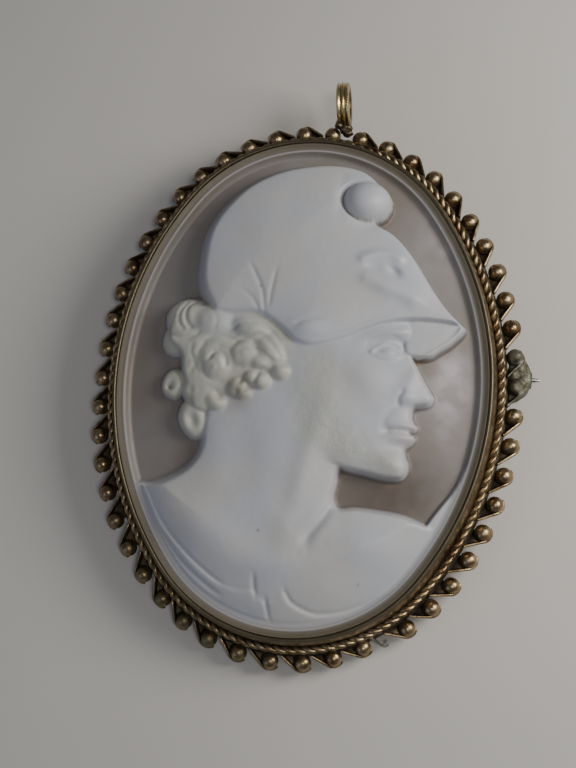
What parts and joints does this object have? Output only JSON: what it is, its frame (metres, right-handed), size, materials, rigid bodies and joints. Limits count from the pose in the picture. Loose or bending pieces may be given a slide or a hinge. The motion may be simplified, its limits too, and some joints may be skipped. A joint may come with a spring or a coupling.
{
  "type": "cameo brooch pendant",
  "caption": "Oval carved shell cameo of a helmeted head in a gilt frame with beaded rope border, bail and brooch pin.",
  "frame": {"origin": "middle of the oval on the frame's back plane, where the brooch lies against cloth", "axes": "+Z out of the carved face, +Y towards the bail, +X the way the head looks"},
  "size_m": [0.0338, 0.0449, 0.008],
  "materials": {
    "shell": "satin",
    "gilt_metal": "worn satin",
    "solder": "dull",
    "pin_steel": "satin"
  },
  "bodies": {
    "root": {"shell_cameo": "shell", "frame": "gilt_metal", "bail": "gilt_metal", "catch": "solder", "hinge": "gilt_metal", "pin_stem": "pin_steel"}
  },
  "joints": []
}
